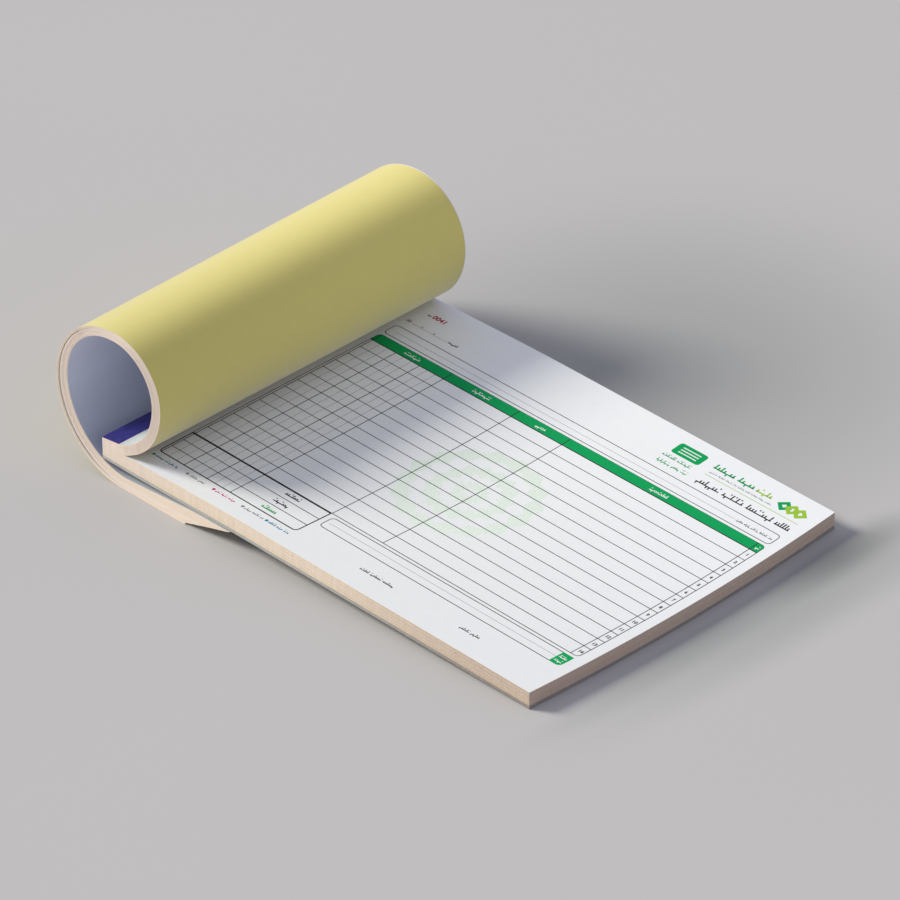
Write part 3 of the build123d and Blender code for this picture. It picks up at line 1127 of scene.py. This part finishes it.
def print_info(parts):
    """The customer's box under the head, and the date line over it."""
    print_frame(parts, INFO_BOX, [CORNER] * 4, FINE)
    rule_across(parts, *INFO_LINE)
    word_line(parts, *INFO_WORDS)
    for stretch in DATE_MARKS:
        word_mark(parts, stretch, DATE_FOOT, *DATE_HAND, BLACK)
    for x in DATE_STROKES:
        rule_up(parts, x, *DATE_STROKE)
    rule_across(parts, *DATE_LINE)


def lozenge(x, y, reach):
    """Corners of an upright lozenge about its middle."""
    across, up = reach
    return [(x - across, y), (x, y - up), (x + across, y), (x, y + up)]


def print_head(parts):
    """Generic marks for a head: lines of words, a rule and plain ornaments."""
    for words in HEAD_WORDS:
        word_line(parts, *words)
    rule_across(parts, *HEAD_RULE)
    first, y = LOZENGE_PLACE
    for i, slot in enumerate(LOZENGE_INKS):
        x = first + LOZENGE_PITCH * i
        rims = [lozenge(x, y, reach) for reach in LOZENGE_RIMS]
        print_ring(parts, *rims, slot, INK_LIFT + UNDER_LIFT * i / 2)
    print_patch(parts, rounded_box(PLATE, [PLATE_CORNER] * 4), GREEN)
    for y in PLATE_LINE_PLACES:
        rule_across(parts, y, *PLATE_LINE)


def print_foot(parts):
    """The amount in words with its green tab, totals captions, signatures and contacts."""
    print_frame(parts, FOOTER_BOX, (CORNER, CORNER, 0, CORNER), FINE)
    x0, x1, y0, y1 = FOOTER_BOX
    tab_left = x1 - FOOTER_TAB
    print_patch(parts, rounded_box((tab_left, x1, y0, y1), (0, CORNER, 0, 0)), GREEN, OVER_LIFT)
    stretch = (tab_left + TAB_INSETS[0], x1 - TAB_INSETS[1])
    for rise in TAB_MARK_RISES:
        word_mark(parts, stretch, y0 + rise, *TAB_HAND, BARE, OVER_LIFT + UNDER_LIFT)
    rule_across(parts, (y0 + y1) / 2, (x0 + CORNER, tab_left), THIN, GREY)
    for row, slot in enumerate(TOTAL_INKS):
        foot = TOTALS_FOOT + (row + TOTAL_CAPTION_RISE) * TOTAL_PITCH
        word_mark(parts, TOTAL_CAPTION, foot, *TOTAL_HAND, slot)
    for stretch in SIGNATURES:
        word_line(parts, stretch, *SIGNATURE)
    for left, right, slot in CONTACTS:
        print_dot(parts, left, slot)
        word_line(parts, (left + CONTACT_INDENT, right), CONTACT_FOOT, *CONTACT_HAND, slot)


def printed_form():
    """The whole form, flat at height 0."""
    parts = Parts()
    sections = (print_ground, print_table, print_band, print_numbers, print_info, print_head, print_foot)
    for section in sections:
        section(parts)
    return parts


def cut_along(parts, lines):
    """The form cut along lines where the page or the print is to bend."""
    mesh = bpy.data.meshes.new("form")
    mesh.from_pydata(parts.points, [], parts.faces)
    mesh.polygons.foreach_set("material_index", parts.slots)
    shapes = bmesh.new()
    shapes.from_mesh(mesh)
    for point, across in lines:
        everything = shapes.verts[:] + shapes.edges[:] + shapes.faces[:]
        bmesh.ops.bisect_plane(shapes, geom=everything, plane_co=point, plane_no=across)
    shapes.to_mesh(mesh)
    shapes.free()
    cut = Parts()
    cut.add([tuple(v.co) for v in mesh.vertices], [tuple(face.vertices) for face in mesh.polygons],
            [face.material_index for face in mesh.polygons])
    bpy.data.meshes.remove(mesh)
    return cut


def page_height(x, height):
    """The height of a loose leaf's face at x, straight between the stations that its mesh has."""
    start = PERFORATION + PERFORATION_GAP / 2
    stations = [start] + [station for station in FLAT_STATIONS if station > start] + [FREE_EDGE]
    for a, b in zip(stations, stations[1:]):
        if x <= b:
            share = (x - a) / (b - a)
            return settled(a, height) * (1 - share) + settled(b, height) * share


def shifted(x, y, z):
    """Where a point of the straight form comes to lie on the page, still at the form's own height."""
    x += PRINT_BOW * bowed(y) * min(max((x - FORM_LEFT) / BOW_REACH, 0.0), 1.0)
    drop = PAD_TOP - page_height(x, PAD_TOP)
    return x + SAG_SHIFT[0] * drop, y + SAG_SHIFT[1] * drop, z


def print_leaves():
    """Lays the form on each loose leaf."""
    lines_up = [((x, 0, 0), (1, 0, 0)) for x in FLAT_STATIONS + [FORM_LEFT + BOW_REACH]]
    lines_across = [((0, y, 0), (0, 1, 0)) for y in ACROSS[1:-1]]
    form = cut_along(printed_form(), lines_up + lines_across)
    form.points = [shifted(*point) for point in form.points]
    form = cut_along(form, lines_up)
    flat_points = form.points
    for number, leaf in enumerate(LOOSE_LEAVES):
        height = PAD_TOP - number * LEAF_THICKNESS
        form.points = [(x, y, z + page_height(x, height)) for x, y, z in flat_points]
        piece = form.make(f"{leaf}_print", inks_on_yellow if "duplicate" in leaf else inks)
        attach(piece, leaf)


print_leaves()


# Floor, light and camera

FLOOR_SIZE = 60.0
FLOOR_GAP = 0.0001
FLOOR_GREY = (0.52, 0.506, 0.52)
FLOOR_SHADES = (0.99, 1.01)

# Painted soft shade on the floor behind the roll and along the free edge: middle, reach and depth
SHADE_CAST = (0.95, 0.98, 0.98)
SHADES = (
    ((-0.003, 0.198, 0.0), (0.257, 0.250, 1.0), 0.27),
    ((0.216, -0.007, 0.0), (0.020, 0.175, 1.0), 0.25),
    ((0.234, 0.057, 0.0), (0.037, 0.234, 1.0), 0.19),
    ((0.213, 0.104, 0.0), (0.025, 0.079, 1.0), 0.45),
)
SKY = (0.96, 1.0, 1.15)
SKY_STRENGTH = 0.465
SUN_FROM = (-1.48, -0.75, 1.0)
SUN_COLOUR = (1.0, 0.97, 0.82)
SUN_STRENGTH = 3.2
SUN_WIDTH = math.radians(20)

# The view in the pad's frame, its focal length in photo widths, and how many metres it reaches
VIEW_AZIMUTH = math.radians(45.415)
VIEW_ELEVATION = math.radians(33.858)
VIEW_FROM = (2139.716, -1822.287, 1884.085)
PHOTO_WIDTH = 900
VIEW_FOCUS = 5745.83 / PHOTO_WIDTH
SENSOR = 36.0
SIGHT = 100


def floor_finish():
    """Even grey with soft patches of painted shade."""
    finish = Finish("studio_floor", roughness=0.9, specular=0.1)
    drift = finish.noise(finish.place(), scale=1.5)
    colour = finish.grain(drift, *[shade_of(FLOOR_GREY, shade) for shade in FLOOR_SHADES])
    # Painted shade: soft dark patches behind the roll and along the free edge
    for middle, reach, depth in SHADES:
        apart = finish.vector_math("SUBTRACT", finish.place(), middle)
        inputs = {"Vector": finish.vector_math("DIVIDE", apart, reach)}
        shade = finish.node("ShaderNodeTexGradient", inputs, gradient_type="SPHERICAL")["Fac"]
        soft = finish.spread(shade, 0.0, 1.0)
        darker = finish.ramp(soft, [(0.0, UNCHANGED), (1.0, shade_of(SHADE_CAST, 1 - depth))])
        colour = finish.multiply(colour, darker)
    finish.colour(colour)
    return finish.material


def make_floor():
    """A level floor, just under what stands on it."""
    half = FLOOR_SIZE / 2
    corners = [(x * half, y * half, -FLOOR_GAP) for x, y in ((-1, -1), (1, -1), (1, 1), (-1, 1))]
    mesh = bpy.data.meshes.new("floor")
    mesh.from_pydata(corners, [], [(0, 1, 2, 3)])
    mesh.materials.append(floor_finish())
    floor = placed("floor", mesh)


def make_light():
    """A soft low sun from behind the roll's near end, and an even sky."""
    world = bpy.data.worlds.new("sky")
    world.use_nodes = True
    background = world.node_tree.nodes["Background"]
    background.inputs["Color"].default_value = (*SKY, 1)
    background.inputs["Strength"].default_value = SKY_STRENGTH
    bpy.context.scene.world = world
    lamp = bpy.data.lights.new("sun", "SUN")
    lamp.color = SUN_COLOUR
    lamp.energy = SUN_STRENGTH
    lamp.angle = SUN_WIDTH
    sun = placed("sun", lamp)
    sun.rotation_euler = (PAD.to_3x3() @ Vector(SUN_FROM)).to_track_quat("Z", "Y").to_euler()


def make_camera():
    """The photograph's viewpoint."""
    right = Vector((math.cos(VIEW_AZIMUTH), math.sin(VIEW_AZIMUTH), 0))
    level_back = Vector((math.sin(VIEW_AZIMUTH), -math.cos(VIEW_AZIMUTH), 0))
    back = level_back * math.cos(VIEW_ELEVATION) + Vector((0, 0, math.sin(VIEW_ELEVATION)))
    turn = PAD.to_3x3().normalized() @ Matrix((right, back.cross(right), back)).transposed()
    lens = bpy.data.cameras.new("camera")
    lens.sensor_width = SENSOR
    lens.lens = VIEW_FOCUS * SENSOR
    lens.clip_end = SIGHT
    camera = placed("camera", lens)
    camera.matrix_world = Matrix.Translation(PAD @ Vector(VIEW_FROM)) @ turn.to_4x4()
    bpy.context.scene.camera = camera


make_floor()
make_light()
make_camera()
bpy.context.scene.view_settings.view_transform = "Standard"
